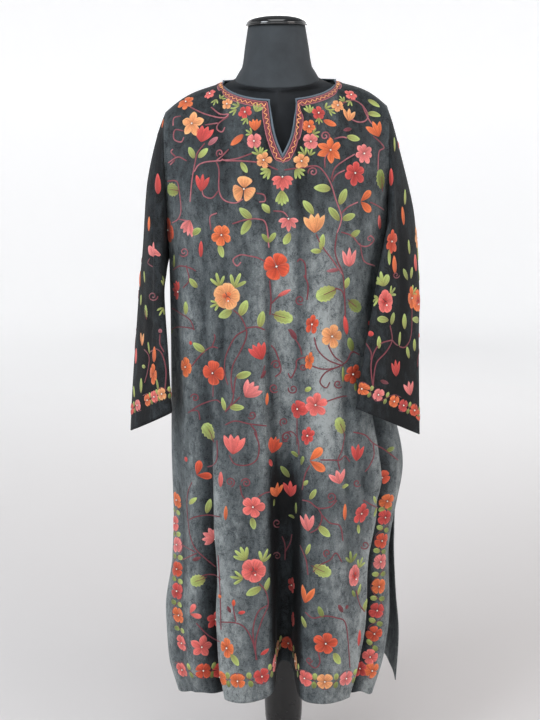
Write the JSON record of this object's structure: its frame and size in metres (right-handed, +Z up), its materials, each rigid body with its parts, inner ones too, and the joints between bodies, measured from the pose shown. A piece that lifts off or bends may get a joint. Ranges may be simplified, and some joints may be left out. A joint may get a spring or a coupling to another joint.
{
  "type": "pheran on a limbless dress form and stand",
  "caption": "Long velvet gown with a notched round neck, full sleeves, deep lengthwise folds and side slits, worn by a limbless dress form on a pole with a round base.",
  "frame": {"origin": "on the floor at the stand's axis, in the middle of the base's flat underside", "axes": "+X to the viewer's right when the front is seen, +Y to the back, +Z up"},
  "size_m": [0.581, 0.3444, 1.5782],
  "materials": {
    "velvet": "cotton velvet pile, matte",
    "binding": "woven bias tape",
    "form_cover": "stretched jersey cover",
    "cap": "high gloss",
    "turned_wood": "gloss black lacquer",
    "stand_metal": "satin black paint",
    "floss": "stranded embroidery thread in orange, coral, red, green and maroon",
    "bead": "pearl white"
  },
  "bodies": {
    "root": {"front_panel": "velvet", "back_panel": "velvet", "sleeve_left": "velvet", "sleeve_right": "velvet", "neck_binding": "binding", "form_torso": "form_cover", "form_neck": "form_cover", "neck_cap": "cap", "stand_pole": "stand_metal", "stand_bulb": "turned_wood", "stand_base": "stand_metal"}
  },
  "joints": []
}
